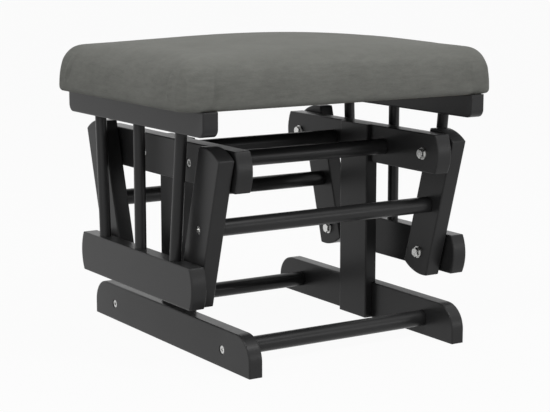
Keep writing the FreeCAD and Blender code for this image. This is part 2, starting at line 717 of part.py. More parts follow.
def make_seat_screws():
    """A countersunk wood screw up through the cushion rail into the seat board."""
    body = new_body("seat_screw")
    sketch = new_sketch(body, "XZ_Plane", name="profile")
    shoulder = "cushion_rail_bottom + seat_screw_recess"
    face = "%s - seat_screw_head_height" % shoulder
    tip = "seat_level + seat_screw_bite"
    shank, head = "seat_screw_diameter / 2", "seat_screw_head / 2"
    draw_outline(sketch, [
        ("0", face), (head, face), (head, "%s + small_edge" % face),
        (head, shoulder), (shank, shoulder), (shank, "%s - seat_screw_diameter" % tip),
        ("0", tip)])
    revolve(body, sketch, "V_Axis")
    place(body, "placement(vector(spindle_plane; -seat_screw_spread / 2; 0); rotationx(0))")
    return four_corners("seat_screws", body)


def rounded_plan(sketch, length, depth, corner):
    """A rectangle with round corners, centred on the origin."""
    across, along = "%s / 2" % length, "%s / 2" % depth
    inner_x, inner_y = "(%s - %s)" % (across, corner), "(%s - %s)" % (along, corner)
    draw_outline(sketch, [
        ("-" + inner_x, "-" + along), (inner_x, "-" + along, corner),
        (across, "-" + inner_y), (across, inner_y, corner),
        (inner_x, along), ("-" + inner_x, along, corner),
        ("-" + across, inner_y), ("-" + across, "-" + inner_y, corner)])


def make_seat_board():
    body = new_body("seat_board")
    sketch = new_sketch(body, "XY_Plane", "seat_level")
    rounded_plan(sketch, "seat_board_length", "seat_board_depth", "seat_board_corner")
    pad(body, sketch, "seat_board_thickness")
    spots = SCREW_SPOTS + [("-" + across, along) for across, along in SCREW_SPOTS]
    screw_holes(body, "seat_level", "seat_screw_diameter", "seat_screw_bite + hole_end_room",
                spots, True)
    return body


def make_dust_cover():
    """The thin black cloth under the seat board, between the cushion rails."""
    body = new_body("dust_cover")
    sketch = new_sketch(body, "XY_Plane", "seat_level - dust_cover_thickness")
    rounded_plan(sketch, "2 * (cushion_rail_inner - soft_clearance)",
                 "(seat_board_depth - 2 * dust_cover_inset)", "dust_cover_inset")
    pad(body, sketch, "dust_cover_thickness")
    return body


def crowned_section(label, role, length, crown, through):
    """A prism with the cushion's cross-section: foot, upright side, round shoulder, crown. The
    shoulder and the crown are arcs that meet in tangent."""
    half, shoulder, foot = "%s / 2" % length, "cushion_shoulder", "cushion_foot"
    middle = "(%s - %s)" % (half, shoulder)
    crown_centre = "(cushion_top - %s)" % crown
    rise = "sqrt((%s - %s) ^ 2 - %s ^ 2)" % (crown, shoulder, middle)
    share = "%s / (%s - %s)" % (crown, crown, shoulder)
    meet_x = "%s * %s" % (middle, share)
    meet_z = "%s + %s * %s" % (crown_centre, rise, share)
    side_top = "%s + %s" % (crown_centre, rise)
    body = new_body(label)
    sketch = new_sketch(body, role)
    draw_outline(sketch, [
        ("-(%s - %s)" % (half, foot), "seat_level"),
        ("%s - %s" % (half, foot), "seat_level", foot),
        (half, "seat_level + %s" % foot), (half, side_top, shoulder),
        (meet_x, meet_z, ("0", "cushion_top")), ("-(%s)" % meet_x, meet_z, shoulder),
        ("-" + half, side_top), ("-" + half, "seat_level + %s" % foot, foot)])
    pad(body, sketch, through, midplane=True)
    return body


def make_cushion():
    """The padded seat: two crowned prisms across each other, trimmed to a plan with drawn-in
    sides and round corners, and hollowed below for the seat board."""
    wide = crowned_section("cushion_long_section", "XZ_Plane", "cushion_length",
                           "cushion_crown_long", "cushion_depth * 2")
    deep = crowned_section("cushion_short_section", "YZ_Plane", "cushion_depth",
                           "cushion_crown_short", "cushion_length * 2")
    plan = new_body("cushion_plan")
    sketch = new_sketch(plan, "XY_Plane", "seat_level - cushion_foot")
    across, along = "cushion_length / 2", "cushion_depth / 2"
    corner = "cushion_corner"
    inner_x, inner_y = "(%s - %s)" % (across, corner), "(%s - %s)" % (along, corner)
    drawn_x, drawn_y = "%s - cushion_side_draw" % across, "%s - cushion_side_draw" % along
    draw_outline(sketch, [
        ("-" + inner_x, "-" + along, ("0", "-(%s)" % drawn_y)), (inner_x, "-" + along, corner),
        (across, "-" + inner_y, (drawn_x, "0")), (across, inner_y, corner),
        (inner_x, along, ("0", drawn_y)), ("-" + inner_x, along, corner),
        ("-" + across, inner_y, ("-(%s)" % drawn_x, "0")),
        ("-" + across, "-" + inner_y, corner)])
    pad(plan, sketch, "cushion_top - seat_level + 2 * cushion_foot")
    hollow = new_body("cushion_hollow")
    floor = new_sketch(hollow, "XY_Plane", "seat_level - cushion_foot")
    rounded_plan(floor, "(seat_board_length + 2 * soft_clearance)",
                 "(seat_board_depth + 2 * soft_clearance)", "(seat_board_corner + soft_clearance)")
    pad(hollow, floor, "cushion_foot + seat_board_thickness")
    crowned = doc.addObject("Part::MultiCommon", "crowned_cushion")
    crowned.Shapes = [wide, deep, plan]
    cushion = doc.addObject("Part::Cut", "cushion")
    cushion.Base = crowned
    cushion.Tool = hollow
    cushion.Label = "cushion"
    return cushion


def build():
    """Every sub-part of the ottoman, one object for each node."""
    nodes = []
    for piece in (make_runner(), make_post(), make_fixed_rail(), make_lower_rail(),
                  make_cushion_rail()):
        nodes += [piece, mirror(piece.Label.replace("right", "left"), piece, LEFT_RIGHT)]
    front_link = make_link("right_front_link", "bush_diameter", "0", "front_link_bar_drop")
    rear_pattern = make_link("rear_link_pattern", "open_bush_diameter", "rear_link_lift",
                             "rear_link_bar_drop")
    rear_link = mirror("right_rear_link", rear_pattern, FRONT_REAR)
    nodes += [front_link, mirror("left_front_link", front_link, LEFT_RIGHT),
              rear_link, mirror("left_rear_link", rear_link, LEFT_RIGHT)]
    nodes += make_bars() + make_upper_pivots() + make_lower_pivots() + make_spindles()
    nodes += [make_dowels(), make_seat_board(), make_dust_cover(), make_seat_screws(),
              make_cushion()]
    return nodes


def check(nodes):
    """Stop before anything is written if an object failed or a shape is not sound."""
    for item in doc.Objects:
        if "Invalid" in item.State or "Error" in item.State:
            raise RuntimeError("%s failed: %s" % (item.Label, item.State))
    for node in nodes:
        if node.Shape.isNull() or not node.Shape.isValid() or not node.Shape.Solids:
            raise RuntimeError("%s has no sound shape" % node.Label)


nodes = build()
doc.recompute()
check(nodes)
os.makedirs("parts", exist_ok=True)
for node in nodes:
    node.Shape.exportStep("parts/%s.step" % node.Label)
print("%d nodes, %d solids" % (len(nodes), sum(len(node.Shape.Solids) for node in nodes)))
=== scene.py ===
"""Looks of a glider ottoman: a black lacquered wooden glider with a grey padded seat."""
import logging
import math
from dataclasses import dataclass, field, replace
from enum import Enum

import bmesh
import bpy
import numpy as np
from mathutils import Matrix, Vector


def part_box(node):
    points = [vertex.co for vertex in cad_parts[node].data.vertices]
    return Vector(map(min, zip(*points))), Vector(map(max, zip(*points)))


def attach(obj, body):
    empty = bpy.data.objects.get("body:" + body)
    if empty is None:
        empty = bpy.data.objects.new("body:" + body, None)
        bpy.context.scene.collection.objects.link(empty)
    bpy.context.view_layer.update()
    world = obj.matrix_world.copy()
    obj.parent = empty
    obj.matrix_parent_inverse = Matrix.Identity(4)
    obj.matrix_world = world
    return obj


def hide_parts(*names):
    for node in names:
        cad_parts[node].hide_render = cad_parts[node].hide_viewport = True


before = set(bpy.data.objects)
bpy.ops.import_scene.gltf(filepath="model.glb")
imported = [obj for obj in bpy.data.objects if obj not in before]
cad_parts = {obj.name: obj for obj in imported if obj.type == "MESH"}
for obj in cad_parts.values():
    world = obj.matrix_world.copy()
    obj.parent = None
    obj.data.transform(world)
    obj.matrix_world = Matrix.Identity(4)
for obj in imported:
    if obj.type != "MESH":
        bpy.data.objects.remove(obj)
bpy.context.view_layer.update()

Colour = tuple[float, float, float]
Place = tuple[float, float, float]
Stretch = tuple[float, float, float]
Socket = bpy.types.NodeSocket
LOG = logging.getLogger("glider_ottoman")
MILLIMETRE = 0.001
TINY = 1e-9  # keeps a length of nought out of a division
NOISE_USUAL = (0.3, 0.7)  # nearly all values of a noise lie between these,
NOISE_CORE = (0.32, 0.68)  # and most of them between these
NOISE_MEAN = 0.5
FACTOR, FIRST, SECOND = 0, 2, 3  # the sockets of a Mix node that mixes plain numbers
EDGE_RAYS = 4  # how many rays look for the edges that are eased


class Grain(Enum):
    """The way that the wood's fibres run, as the stretch of its grain along X, Y and Z."""

    ALONG_X = (0.06, 1.0, 1.0)
    ALONG_Y = (1.0, 0.06, 1.0)
    ALONG_Z = (1.0, 1.0, 0.06)


class Finish(Enum):
    """The finishes of the pieces that keep their solids."""

    LACQUER_ALONG_X = "black lacquer, grain along X"
    LACQUER_ALONG_Y = "black lacquer, grain along Y"
    LACQUER_ALONG_Z = "black lacquer, grain along Z"
    ZINC = "zinc plate"
    STEEL = "plain steel"
    NYLON = "black nylon"
    BARE_WOOD = "bare birch and plywood"
    DUST_CLOTH = "thin black cloth"


Pieces = dict[Finish, tuple[str, ...]]  # the names of the solids that have each finish


class Side(Enum):
    """The two kinds of side that the cushion has, as the axis that each runs along."""

    FRONT_AND_BACK = 0
    LEFT_AND_RIGHT = 1


@dataclass(frozen=True)
class Pattern:
    """A soft noise: its cells to the metre, its finer layers and how strong these are."""

    cells: float
    detail: float = 3.0
    roughness: float = 0.55
    stretch: Stretch = (1.0, 1.0, 1.0)


class NodeBoard:
    """One material's node tree, with short ways to add nodes and join them."""

    def __init__(self, name: str) -> None:
        """Make an empty material.

        Args:
            name: the material's name.
        """
        self.material = bpy.data.materials.new(name)
        self.material.use_nodes = True
        self.tree = self.material.node_tree
        self.tree.nodes.clear()
        self.shader = self.add("ShaderNodeBsdfPrincipled")
        self.output = self.add("ShaderNodeOutputMaterial")
        self.tree.links.new(self.shader.outputs["BSDF"], self.output.inputs["Surface"])

    def add(self, kind: str, **settings: object) -> bpy.types.Node:
        """Add a node.

        Args:
            kind: the node's type name.
            settings: properties to set on it.

        Returns:
            The new node.
        """
        node = self.tree.nodes.new(kind)
        for name, value in settings.items():
            setattr(node, name, value)
        return node

    def join(self, source: Socket, target: Socket) -> None:
        """Link an output to an input."""
        self.tree.links.new(source, target)

    def set_shader(self, **values: object) -> None:
        """Set the shader's own sockets.

        Args:
            values: socket names, with underscores for spaces, and their values.
        """
        for name, value in values.items():
            self.shader.inputs[name.replace("_", " ")].default_value = value

    def noise(self, pattern: Pattern) -> Socket:
        """Soft noise around one half, in the object's own frame, in metres.

        Args:
            pattern: its cells, layers and stretch.

        Returns:
            The socket of its value.
        """
        where = self.add("ShaderNodeTexCoord")
        scaled = self.add("ShaderNodeMapping")
        scaled.inputs["Scale"].default_value = pattern.stretch
        self.join(where.outputs["Object"], scaled.inputs["Vector"])
        node = self.add("ShaderNodeTexNoise")
        node.inputs["Scale"].default_value = pattern.cells
        node.inputs["Detail"].default_value = pattern.detail
        node.inputs["Roughness"].default_value = pattern.roughness
        self.join(scaled.outputs["Vector"], node.inputs["Vector"])
        return node.outputs["Fac"]

    def spread(self, value: Socket, low: float, high: float) -> Socket:
        """Map the middle of a noise to a range of numbers.

        Args:
            value: the noise.
            low: what it gives at its usual lowest.
            high: what it gives at its usual highest.

        Returns:
            The socket of the number.
        """
        node = self.add("ShaderNodeMapRange")
        node.inputs["From Min"].default_value = NOISE_USUAL[0]
        node.inputs["From Max"].default_value = NOISE_USUAL[1]
        node.inputs["To Min"].default_value = low
        node.inputs["To Max"].default_value = high
        self.join(value, node.inputs["Value"])
        return node.outputs["Result"]

    def shade(self, value: Socket, dark: Colour, light: Colour) -> Socket:
        """Map the middle of a noise to a colour between two.

        Args:
            value: the noise.
            dark: the colour at its usual lowest.
            light: the colour at its usual highest.

        Returns:
            The socket of the colour.
        """
        node = self.add("ShaderNodeValToRGB")
        first, last = node.color_ramp.elements
        first.position, first.color = NOISE_CORE[0], (*dark, 1.0)
        last.position, last.color = NOISE_CORE[1], (*light, 1.0)
        self.join(value, node.inputs["Fac"])
        return node.outputs["Color"]

    def blend_of(self, first: Socket, second: Socket, share: float) -> Socket:
        """A mix of two values.

        Args:
            first: a value.
            second: the other value.
            share: how much of the mix is the second, from 0 to 1.

        Returns:
            The socket of the mix.
        """
        node = self.add("ShaderNodeMix")
        node.inputs[FACTOR].default_value = share
        self.join(first, node.inputs[FIRST])
        self.join(second, node.inputs[SECOND])
        return node.outputs[0]

    def calm_on_top(self, value: Socket, share: float, steep: float = 0.5) -> Socket:
        """Bring a noise nearer its mean where the surface faces up.

        Args:
            value: the noise.
            share: how much of its variation is left on a level surface.
            steep: the upward part of the normal up to which all of it is left.

        Returns:
            The socket of the calmer noise.
        """
        where = self.add("ShaderNodeTexCoord")
        parts = self.add("ShaderNodeSeparateXYZ")
        kept = self.add("ShaderNodeMapRange")
        kept.inputs["From Min"].default_value = steep
        kept.inputs["To Min"].default_value = 1.0
        kept.inputs["To Max"].default_value = share
        mixed = self.add("ShaderNodeMix")
        mixed.inputs[FIRST].default_value = NOISE_MEAN
        self.join(where.outputs["Normal"], parts.inputs["Vector"])
        self.join(parts.outputs["Z"], kept.inputs["Value"])
        self.join(kept.outputs["Result"], mixed.inputs[FACTOR])
        self.join(value, mixed.inputs[SECOND])
        return mixed.outputs[0]

    def raise_by(self, height: Socket, depth: float, edge: float = 0.0) -> None:
        """Give the shader a bump, and ease the edges where they have a radius.

        Args:
            height: a value from 0 to 1.
            depth: how high 1 stands, in metres.
            edge: the radius of the eased edges, in metres, or 0 for sharp ones.
        """
        node = self.add("ShaderNodeBump")
        node.inputs["Distance"].default_value = depth
        self.join(height, node.inputs["Height"])
        if edge > 0.0:
            eased = self.add("ShaderNodeBevel", samples=EDGE_RAYS)
            eased.inputs["Radius"].default_value = edge
            self.join(eased.outputs["Normal"], node.inputs["Normal"])
        self.join(node.outputs["Normal"], self.shader.inputs["Normal"])


@dataclass(frozen=True)
class BlackLacquer:
    """Black satin lacquer on hardwood, with the grain just showing through."""

    dark: Colour = (0.0203, 0.0203, 0.0207)
    light: Colour = (0.0253, 0.0253, 0.0257)
    smoothest: float = 0.28
    roughest: float = 0.34
    specular: float = 0.21
    clouds: Pattern = Pattern(14.0, detail=2.0)
    fibres: Pattern = Pattern(700.0, detail=4.0, roughness=0.6)
    fibre_share: float = 0.3
    fibre_depth: float = 0.004 * MILLIMETRE
    edge: float = 3 * MILLIMETRE

    def material(self, grain: Grain) -> bpy.types.Material:
        """Make the finish for boards whose grain runs one way.

        Args:
            grain: the way of the grain.

        Returns:
            The material.
        """
        board = NodeBoard("black_lacquer_" + grain.name.lower())
        fibres = board.noise(replace(self.fibres, stretch=grain.value))
        clouds = board.noise(self.clouds)
        tone = board.blend_of(clouds, fibres, self.fibre_share)
        board.join(board.shade(tone, self.dark, self.light), board.shader.inputs["Base Color"])
        board.join(board.spread(clouds, self.smoothest, self.roughest),
                   board.shader.inputs["Roughness"])
        board.raise_by(fibres, self.fibre_depth, self.edge)
        board.set_shader(Specular_IOR_Level=self.specular)
        return board.material


@dataclass(frozen=True)
class MetalPlate:
    """A bare or plated steel, with faint brush marks."""

    name: str
    dark: Colour
    light: Colour
    smoothest: float
    roughest: float
    clouds: Pattern = Pattern(260.0)
    brush: Pattern = Pattern(5200.0, detail=2.0, stretch=(1.0, 0.15, 1.0))
    brush_depth: float = 0.012 * MILLIMETRE

    def material(self) -> bpy.types.Material:
        """Make the finish.

        Returns:
            The material.
        """
        board = NodeBoard(self.name)
        clouds = board.noise(self.clouds)
        brush = board.noise(self.brush)
        board.join(board.shade(clouds, self.dark, self.light), board.shader.inputs["Base Color"])
        board.join(board.spread(clouds, self.smoothest, self.roughest),
                   board.shader.inputs["Roughness"])
        board.raise_by(brush, self.brush_depth)
        board.set_shader(Metallic=1.0)
        return board.material


@dataclass(frozen=True)
class BlackNylon:
    """Moulded black nylon of the hubs, bushes and spacers."""

    dark: Colour = (0.012, 0.012, 0.012)
    light: Colour = (0.019, 0.019, 0.019)
    smoothest: float = 0.42
    roughest: float = 0.52
    grains: Pattern = Pattern(1800.0, detail=2.0)
    grain_depth: float = 0.02 * MILLIMETRE

    def material(self) -> bpy.types.Material:
        """Make the finish.

        Returns:
            The material.
        """
        board = NodeBoard("black_nylon")
        grains = board.noise(self.grains)
        board.join(board.shade(grains, self.dark, self.light), board.shader.inputs["Base Color"])
        board.join(board.spread(grains, self.smoothest, self.roughest),
                   board.shader.inputs["Roughness"])
        board.raise_by(grains, self.grain_depth)
        return board.material


@dataclass(frozen=True)
class BareWood:
    """Unfinished birch and plywood, which stay out of sight."""

    dark: Colour = (0.42, 0.29, 0.17)
    light: Colour = (0.58, 0.43, 0.28)
    smoothest: float = 0.55
    roughest: float = 0.7
    fibres: Pattern = Pattern(700.0, detail=4.0, roughness=0.65, stretch=Grain.ALONG_X.value)
    fibre_depth: float = 0.06 * MILLIMETRE

    def material(self) -> bpy.types.Material:
        """Make the finish.

        Returns:
            The material.
        """
        board = NodeBoard("bare_wood")
        fibres = board.noise(self.fibres)
        board.join(board.shade(fibres, self.dark, self.light), board.shader.inputs["Base Color"])
        board.join(board.spread(fibres, self.smoothest, self.roughest),
                   board.shader.inputs["Roughness"])
        board.raise_by(fibres, self.fibre_depth)
        return board.material


@dataclass(frozen=True)
class DustCloth:
    """Thin black non-woven cloth."""

    dark: Colour = (0.008, 0.008, 0.008)
    light: Colour = (0.02, 0.02, 0.02)
    roughness: float = 0.85
    specular: float = 0.2
    dimples: Pattern = Pattern(1100.0, detail=2.0)
    dimple_depth: float = 0.12 * MILLIMETRE

    def material(self) -> bpy.types.Material:
        """Make the finish.

        Returns:
            The material.
        """
        board = NodeBoard("dust_cloth")
        dimples = board.noise(self.dimples)
        board.join(board.shade(dimples, self.dark, self.light), board.shader.inputs["Base Color"])
        board.raise_by(dimples, self.dimple_depth)
        board.set_shader(Roughness=self.roughness, Specular_IOR_Level=self.specular)
        return board.material


@dataclass(frozen=True)
class SeatCloth:
    """Grey brushed microfibre, whose nap lies in faint level streaks."""

    dark: Colour = (0.113, 0.115, 0.105)
    light: Colour = (0.181, 0.183, 0.168)
    roughness: float = 0.9
    specular: float = 0.2
    sheen: float = 0.06
    sheen_roughness: float = 0.5
    sheen_tint: Colour = (0.75, 0.76, 0.72)
    clouds: Pattern = Pattern(16.0, roughness=0.6)
    mottle: Pattern = Pattern(80.0, roughness=0.6, stretch=(0.3, 0.3, 1.0))
    streaks: Pattern = Pattern(200.0, roughness=0.6, stretch=(0.25, 0.25, 1.0))
    fibres: Pattern = Pattern(620.0, roughness=0.8, stretch=(0.4, 0.4, 1.0))
    mottle_share: float = 0.5
    streak_share: float = 0.4
    fibre_share: float = 0.25
    raised_fibre_share: float = 0.3
    nap_depth: float = 0.5 * MILLIMETRE
    calm_share: float = 0.5

    def material(self) -> bpy.types.Material:
        """Make the finish.

        Returns:
            The material.
        """
        board = NodeBoard("seat_cloth")
        clouds = board.noise(self.clouds)
        mottle = board.noise(self.mottle)
        streaks = board.noise(self.streaks)
        fibres = board.noise(self.fibres)
        patches = board.blend_of(clouds, mottle, self.mottle_share)
        nap = board.blend_of(patches, streaks, self.streak_share)
        tone = board.calm_on_top(board.blend_of(nap, fibres, self.fibre_share), self.calm_share)
        board.join(board.shade(tone, self.dark, self.light), board.shader.inputs["Base Color"])
        board.raise_by(board.blend_of(streaks, fibres, self.raised_fibre_share), self.nap_depth)
        board.set_shader(Roughness=self.roughness, Specular_IOR_Level=self.specular,
                         Sheen_Weight=self.sheen, Sheen_Roughness=self.sheen_roughness,
                         Sheen_Tint=(*self.sheen_tint, 1.0))
        return board.material


@dataclass
class FinishRack:
    """The finishes of the solids, each made once and then shared."""

    lacquer: BlackLacquer = BlackLacquer()
    zinc: MetalPlate = MetalPlate("zinc_plate", (0.50, 0.50, 0.49), (0.68, 0.68, 0.67), 0.20, 0.34)
    steel: MetalPlate = MetalPlate("plain_steel", (0.34, 0.34, 0.33), (0.48, 0.48, 0.47), 0.32,
                                   0.46)
    nylon: BlackNylon = BlackNylon()
    bare_wood: BareWood = BareWood()
    dust_cloth: DustCloth = DustCloth()
    made: dict[Finish, bpy.types.Material] = field(init=False)

    def __post_init__(self) -> None:
        """Make every finish."""
        self.made = {
            Finish.LACQUER_ALONG_X: self.lacquer.material(Grain.ALONG_X),
            Finish.LACQUER_ALONG_Y: self.lacquer.material(Grain.ALONG_Y),
            Finish.LACQUER_ALONG_Z: self.lacquer.material(Grain.ALONG_Z),
            Finish.ZINC: self.zinc.material(),
            Finish.STEEL: self.steel.material(),
            Finish.NYLON: self.nylon.material(),
            Finish.BARE_WOOD: self.bare_wood.material(),
            Finish.DUST_CLOTH: self.dust_cloth.material(),
        }

    def dress(self, pieces: Pieces) -> Pieces:
        """Put the finishes on solids of the frame.

        Args:
            pieces: the solids that have each finish.

        Returns:
            The same pieces, for the report.
        """
        for finish, names in pieces.items():
            for name in names:
                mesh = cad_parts[name].data
                mesh.materials.clear()
                mesh.materials.append(self.made[finish])
        return pieces


@dataclass
class Base:
    """The runners, posts and fixed rails, their cross bars, and what holds them together."""

    pieces: Pieces = field(default_factory=lambda: {
        Finish.LACQUER_ALONG_X: ("front_base_bar", "rear_base_bar", "front_upper_bar",
                                 "rear_upper_bar"),
        Finish.LACQUER_ALONG_Y: ("right_runner", "left_runner", "right_fixed_rail",
                                 "left_fixed_rail"),
        Finish.LACQUER_ALONG_Z: ("right_post", "left_post"),
        Finish.ZINC: ("base_bar_bolts", "upper_bar_bolts", "upper_pivot_bolts",
                      "upper_pivot_washers"),
        Finish.STEEL: ("base_bar_inserts", "upper_bar_inserts"),
        Finish.NYLON: ("upper_pivot_hubs",),
        Finish.BARE_WOOD: ("post_dowels",),
    })

    def dress(self, rack: FinishRack) -> Pieces:
        """Dress the base's solids and say which they are."""
        return rack.dress(self.pieces)


@dataclass
class LinkPair:
    """One row of links: the two boards that swing, the bar that ties them, and their bushes."""

    row: str
    pieces: Pieces = field(init=False)

    def __post_init__(self) -> None:
        """List the row's solids."""
        self.pieces = {
            Finish.LACQUER_ALONG_X: (f"{self.row}_link_bar",),
            Finish.LACQUER_ALONG_Z: (f"right_{self.row}_link", f"left_{self.row}_link"),
            Finish.ZINC: (f"{self.row}_link_bar_bolts",),
            Finish.STEEL: (f"{self.row}_link_bar_inserts",),
            Finish.NYLON: (f"{self.row}_upper_bushes", f"{self.row}_lower_bushes"),
        }

    def dress(self, rack: FinishRack) -> Pieces:
        """Dress the row's solids and say which they are."""
        return rack.dress(self.pieces)


@dataclass
class Platform:
    """The lower rails, spindles and cushion rails that hang from the links, and the seat board."""

    pieces: Pieces = field(default_factory=lambda: {
        Finish.LACQUER_ALONG_Y: ("right_lower_rail", "left_lower_rail", "right_cushion_rail",
                                 "left_cushion_rail"),
        Finish.LACQUER_ALONG_Z: ("right_front_spindle", "right_middle_spindle",
                                 "right_rear_spindle", "left_front_spindle",
                                 "left_middle_spindle", "left_rear_spindle"),
        Finish.ZINC: ("lower_pivot_bolts", "lower_pivot_washers", "seat_screws"),
        Finish.STEEL: ("lower_pivot_inserts", "front_lower_sleeves", "rear_lower_sleeves"),
        Finish.NYLON: ("front_lower_spacers", "rear_lower_spacers"),
        Finish.BARE_WOOD: ("seat_board",),
        Finish.DUST_CLOTH: ("dust_cover",),
    })

    def dress(self, rack: FinishRack) -> Pieces:
        """Dress the platform's solids and say which they are."""
        return rack.dress(self.pieces)


@dataclass(frozen=True)
class Crease:
    """A fold line of the cover, which runs up a side of the cushion near each corner."""

    side: Side
    distance: float  # from the corner
    foot: float  # how far up the side it starts


@dataclass
class Cushion:
    """The padded seat: a domed foam block in a cloth cover that is pulled tight under its board."""

    # the block, in metres; a higher power makes squarer shoulders
    width: float = 0.5392
    depth: float = 0.4146
    top: float = 0.4559
    dome: float = 0.0194
    side_reach: float = 0.055
    corner_reach: float = 0.025
    reach_ease: int = 3
    edge_fall: float = 0.082
    plan_power: float = 1.6
    side_power: float = 2.1
    corner_power: float = 2.26
    front_power: float = 2.9
    front_ease: int = 4
    foot_height: float = 0.0065
    foot_tuck: float = 0.0025
    cell: float = 0.005
    weld: float = 1e-6
    # the cover
    held_height: float = 0.012
    pressure: float = 4.0
    stretch_stiffness: float = 18.0
    shear_stiffness: float = 8.0
    bending_stiffness: float = 0.15
    slack: float = 0.006
    steps: int = 20
    swell_limit: float = 0.012
    even_rounds: int = 14
    wrinkle_share: float = 0.22
    # its fold lines; the dip beside each is placed and sized in widths of the line
    creases: tuple[Crease, ...] = (Crease(Side.LEFT_AND_RIGHT, 0.046, 0.014),
                                   Crease(Side.FRONT_AND_BACK, 0.045, 0.003))
    crease_height: float = 0.0026
    crease_width: float = 0.0034
    crease_lean: float = 0.006
    crease_length: float = 0.05
    crease_end: float = 1.15
    crease_end_ease: float = 0.5
    crease_foot_ease: float = 0.008
    dip_depth: float = 0.6
    dip_distance: float = 2.2
    dip_width: float = 1.6
    shell: float = 0.02
    shell_ease: float = 0.01
    low: float = field(init=False)
    half: np.ndarray = field(init=False)

    def __post_init__(self) -> None:
        """Find where the cushion rests, and half its plan with its whole height."""
        self.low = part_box("cushion")[0].z
        self.half = np.array([self.width / 2, self.depth / 2, self.top - self.low])

    def build(self) -> bpy.types.Object:
        """Make the cushion and set it on the platform.

        Returns:
            The cushion.
        """
        piece = self.block()
        self.pull_cover(piece)
        self.refine(piece)
        self.crease_corners(piece)
        piece.data.materials.append(SeatCloth().material())
        piece.data.polygons.foreach_set("use_smooth", [True] * len(piece.data.polygons))
        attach(piece, "platform")
        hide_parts("cushion")
        return piece

    def block(self) -> bpy.types.Object:
        """The skin of the foam block as an even net of cells.

        Returns:
            The block.
        """
        net = bmesh.new()
        sizes = (self.width, self.depth, self.half[2])
        counts = [round(size / self.cell) for size in sizes]
        for across in range(3):
            first, second = [axis for axis in range(3) if axis != across]
            for end in (0.0, 1.0):
                rows = []
                for step in np.linspace(0.0, 1.0, counts[first] + 1):
                    row = []
                    for other in np.linspace(0.0, 1.0, counts[second] + 1):
                        place = [0.0, 0.0, 0.0]
                        place[across], place[first], place[second] = end, step, other
                        row.append(net.verts.new(place))
                    rows.append(row)
                for near, far in zip(rows, rows[1:]):
                    for index in range(len(near) - 1):
                        net.faces.new((near[index], near[index + 1], far[index + 1], far[index]))
        bmesh.ops.remove_doubles(net, verts=net.verts, dist=self.weld)
        bmesh.ops.recalc_face_normals(net, faces=net.faces)
        mesh = bpy.data.meshes.new("seat_cushion")
        net.to_mesh(mesh)
        net.free()
        piece = bpy.data.objects.new("seat_cushion", mesh)
        bpy.context.scene.collection.objects.link(piece)
        write_points(piece, self.form(read_points(piece)))
        return piece

    def form(self, net: np.ndarray) -> np.ndarray:
        """Shape a net of points on a box of side one into the foam block.

        The edges are rounded by ellipses of a high power, with a shorter reach at the corners.
        Then the top is domed and the foot is tucked in.

        Args:
            net: the points, one row each, from 0 to 1.

        Returns:
            The points of the block.
        """
        half = self.half
        across = 2 * net[:, :2] - 1
        points = np.column_stack((across * half[:2], net[:, 2] * half[2]))
        near = np.abs(across[:, ::-1]) ** self.reach_ease  # 1 at a side's ends, 0 in its middle
        reach = np.column_stack((self.side_reach + (self.corner_reach - self.side_reach) * near,
                                 np.full(len(net), self.edge_fall)))
        spread = across ** self.front_ease
        power = (self.side_power + (self.corner_power - self.side_power) * near.min(axis=1)
                 + (self.front_power - self.side_power) * spread[:, 1] * (1 - spread[:, 0]))
        core = half - reach
        inner = np.column_stack((np.clip(points[:, :2], -core[:, :2], core[:, :2]),
                                 np.minimum(points[:, 2], core[:, 2])))
        out = (points - inner) / reach
        size = np.abs(out)
        plan = (size[:, :2] ** self.plan_power).sum(axis=1)
        length = (plan ** (power / self.plan_power) + size[:, 2] ** power) ** (1 / power)
        share = size.max(axis=1) / np.maximum(length, TINY)
        points = inner + out * share[:, None] * reach
        spots = (points[:, :2] / half[:2]) ** 2
        points[:, 2] -= self.dome * (1 - (1 - spots).prod(axis=1)) * points[:, 2] / half[2]
        foot = np.clip(1 - points[:, 2] / self.foot_height, 0, 1)
        tuck = self.foot_tuck * (1 - np.sqrt(1 - foot ** 2))
        points[:, :2] *= 1 - tuck[:, None] / half[:2]
        points[:, 2] += self.low
        return points

    def pull_cover(self, piece: bpy.types.Object) -> None:
        """Let the cover swell and wrinkle a little, held at its underside.

        Of its shift only the fine part is kept, so the block keeps its outline.

        Args:
            piece: the cushion, whose mesh is changed.
        """
        rest = read_points(piece)
        held = piece.vertex_groups.new(name="held")
        for index, point in enumerate(rest):
            weight = 1.0 - min((point[2] - self.low) / self.held_height, 1.0)
            if weight > 0.0:
                held.add([index], weight, "REPLACE")
        cloth = piece.modifiers.new("cover", "CLOTH")
        cloth.settings.vertex_group_mass = "held"
        cloth.settings.use_pressure = True
        cloth.settings.uniform_pressure_force = self.pressure
        cloth.settings.effector_weights.gravity = 0.0
        cloth.settings.tension_stiffness = self.stretch_stiffness
        cloth.settings.compression_stiffness = self.stretch_stiffness
        cloth.settings.shear_stiffness = self.shear_stiffness
        cloth.settings.bending_stiffness = self.bending_stiffness
        cloth.settings.shrink_min = -self.slack
        scene = bpy.context.scene
        cloth.point_cache.frame_start, cloth.point_cache.frame_end = 1, self.steps
        for step in range(1, self.steps + 1):
            scene.frame_set(step)
        moved = read_points(piece.evaluated_get(bpy.context.evaluated_depsgraph_get()))
        piece.modifiers.clear()
        piece.vertex_groups.clear()
        scene.frame_set(1)
        shift = moved - rest
        length = np.linalg.norm(shift, axis=1, keepdims=True)
        shift *= np.minimum(1.0, self.swell_limit / np.maximum(length, TINY))
        slow = even_out(piece.data, shift, self.even_rounds)
        write_points(piece, rest + self.wrinkle_share * (shift - slow))

